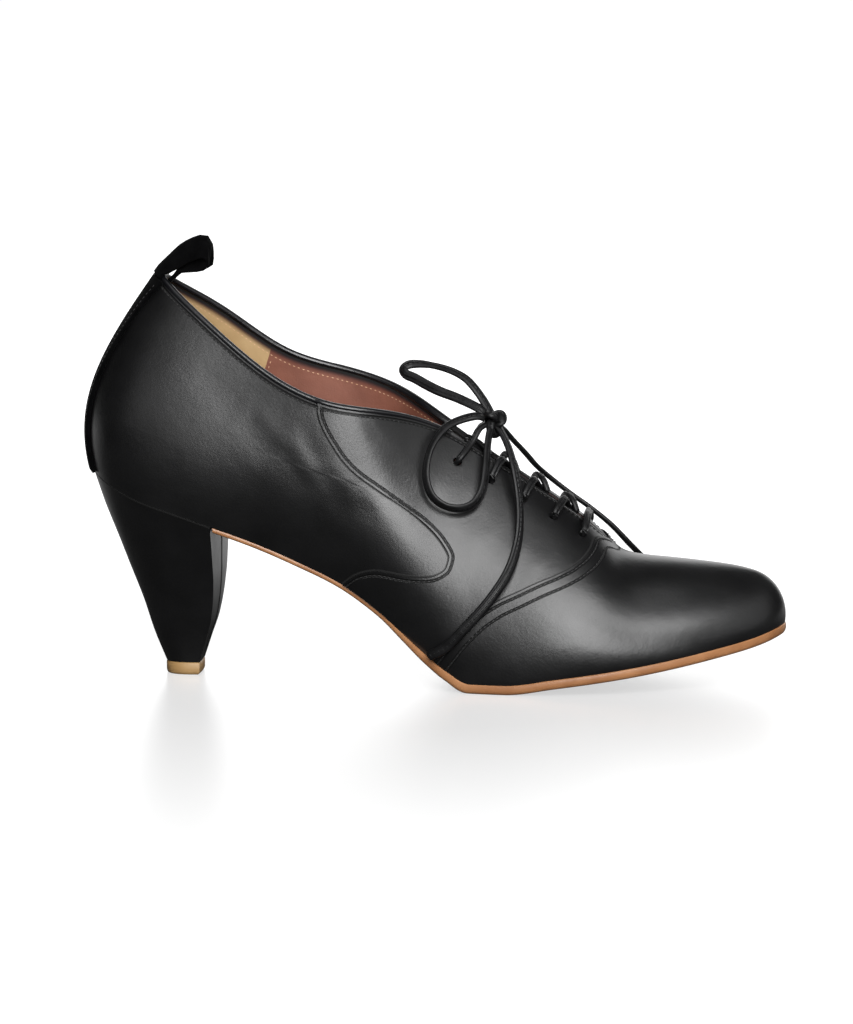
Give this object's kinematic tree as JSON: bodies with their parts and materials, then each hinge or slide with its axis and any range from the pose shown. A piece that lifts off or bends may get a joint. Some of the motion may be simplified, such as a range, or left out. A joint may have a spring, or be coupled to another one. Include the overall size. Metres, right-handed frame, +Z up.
{
  "type": "heeled oxford shoe",
  "caption": "Women's right lace-up oxford in black leather with a high cone heel, a tan leather sole edge and a suede pull tab.",
  "frame": {"origin": "middle of the top lift's floor face, under the heel", "axes": "+X towards the toe, +Y towards the inner (medial) side, +Z up"},
  "size_m": [0.248, 0.0778, 0.1556],
  "materials": {
    "black_leather": "smooth, soft satin gloss",
    "black_binding": "rolled, glossy",
    "black_suede": "matte nap",
    "heel_cover": "smooth, soft satin gloss",
    "tan_sole": "smooth stained edge, satin",
    "tan_lift": "satin",
    "lining_leather": "matte, fine grain",
    "black_lace": "folded soft lace, stitched along its middle, matte"
  },
  "bodies": {
    "root": {"outsole": "tan_sole", "heel": "heel_cover", "top_lift": "tan_lift", "insole": "lining_leather", "upper": "black_leather", "tongue": "black_leather", "collar_binding": "black_binding", "back_strip": "black_suede", "pull_tab": "black_suede", "lace_cross_1": "black_lace", "lace_cross_2": "black_lace", "lace_cross_3": "black_lace", "lace_cross_4": "black_lace", "lace_bar": "black_lace", "lace_rise": "black_lace", "lace_knot": "black_lace", "lace_loop_upper": "black_lace", "lace_loop_lower": "black_lace", "lace_end_near": "black_lace", "lace_end_far": "black_lace"}
  },
  "joints": []
}
